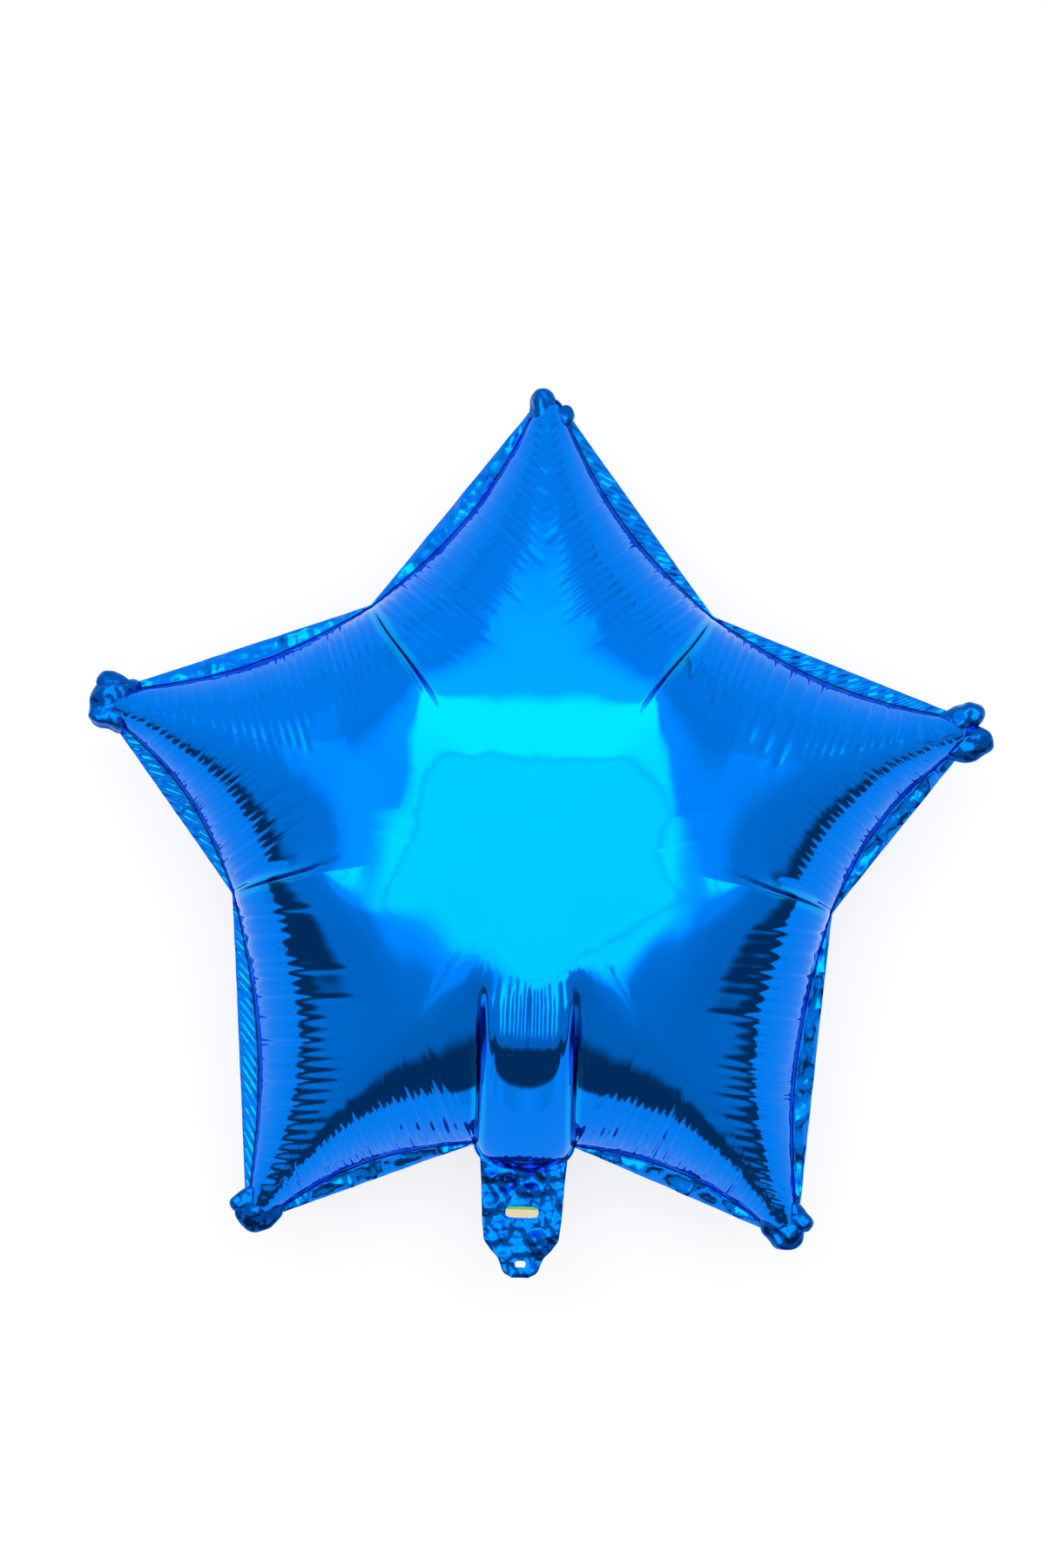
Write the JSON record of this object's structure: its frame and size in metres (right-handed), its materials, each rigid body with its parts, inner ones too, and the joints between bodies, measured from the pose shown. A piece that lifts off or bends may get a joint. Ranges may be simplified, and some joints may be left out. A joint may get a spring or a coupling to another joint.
{
  "type": "star foil balloon",
  "caption": "Inflated star-shaped metallic foil balloon with a sealed flange, puckered edges and a flat filling tail.",
  "frame": {"origin": "middle of the small flat spot on the back, below the star's centre, where the balloon rests", "axes": "+Z out of the front face, away from the surface it lies on; +Y towards the top arm's tip, with the tail along -Y; +X to the right seen from the front"},
  "size_m": [0.424, 0.4177, 0.14],
  "materials": {
    "blue_foil": "metallised blue polyester film, mirror-like with fine creases",
    "beige_film": "soft translucent beige plastic film with a green printed band"
  },
  "bodies": {
    "root": {"foil_envelope": "blue_foil", "valve_film": "beige_film"}
  },
  "joints": []
}
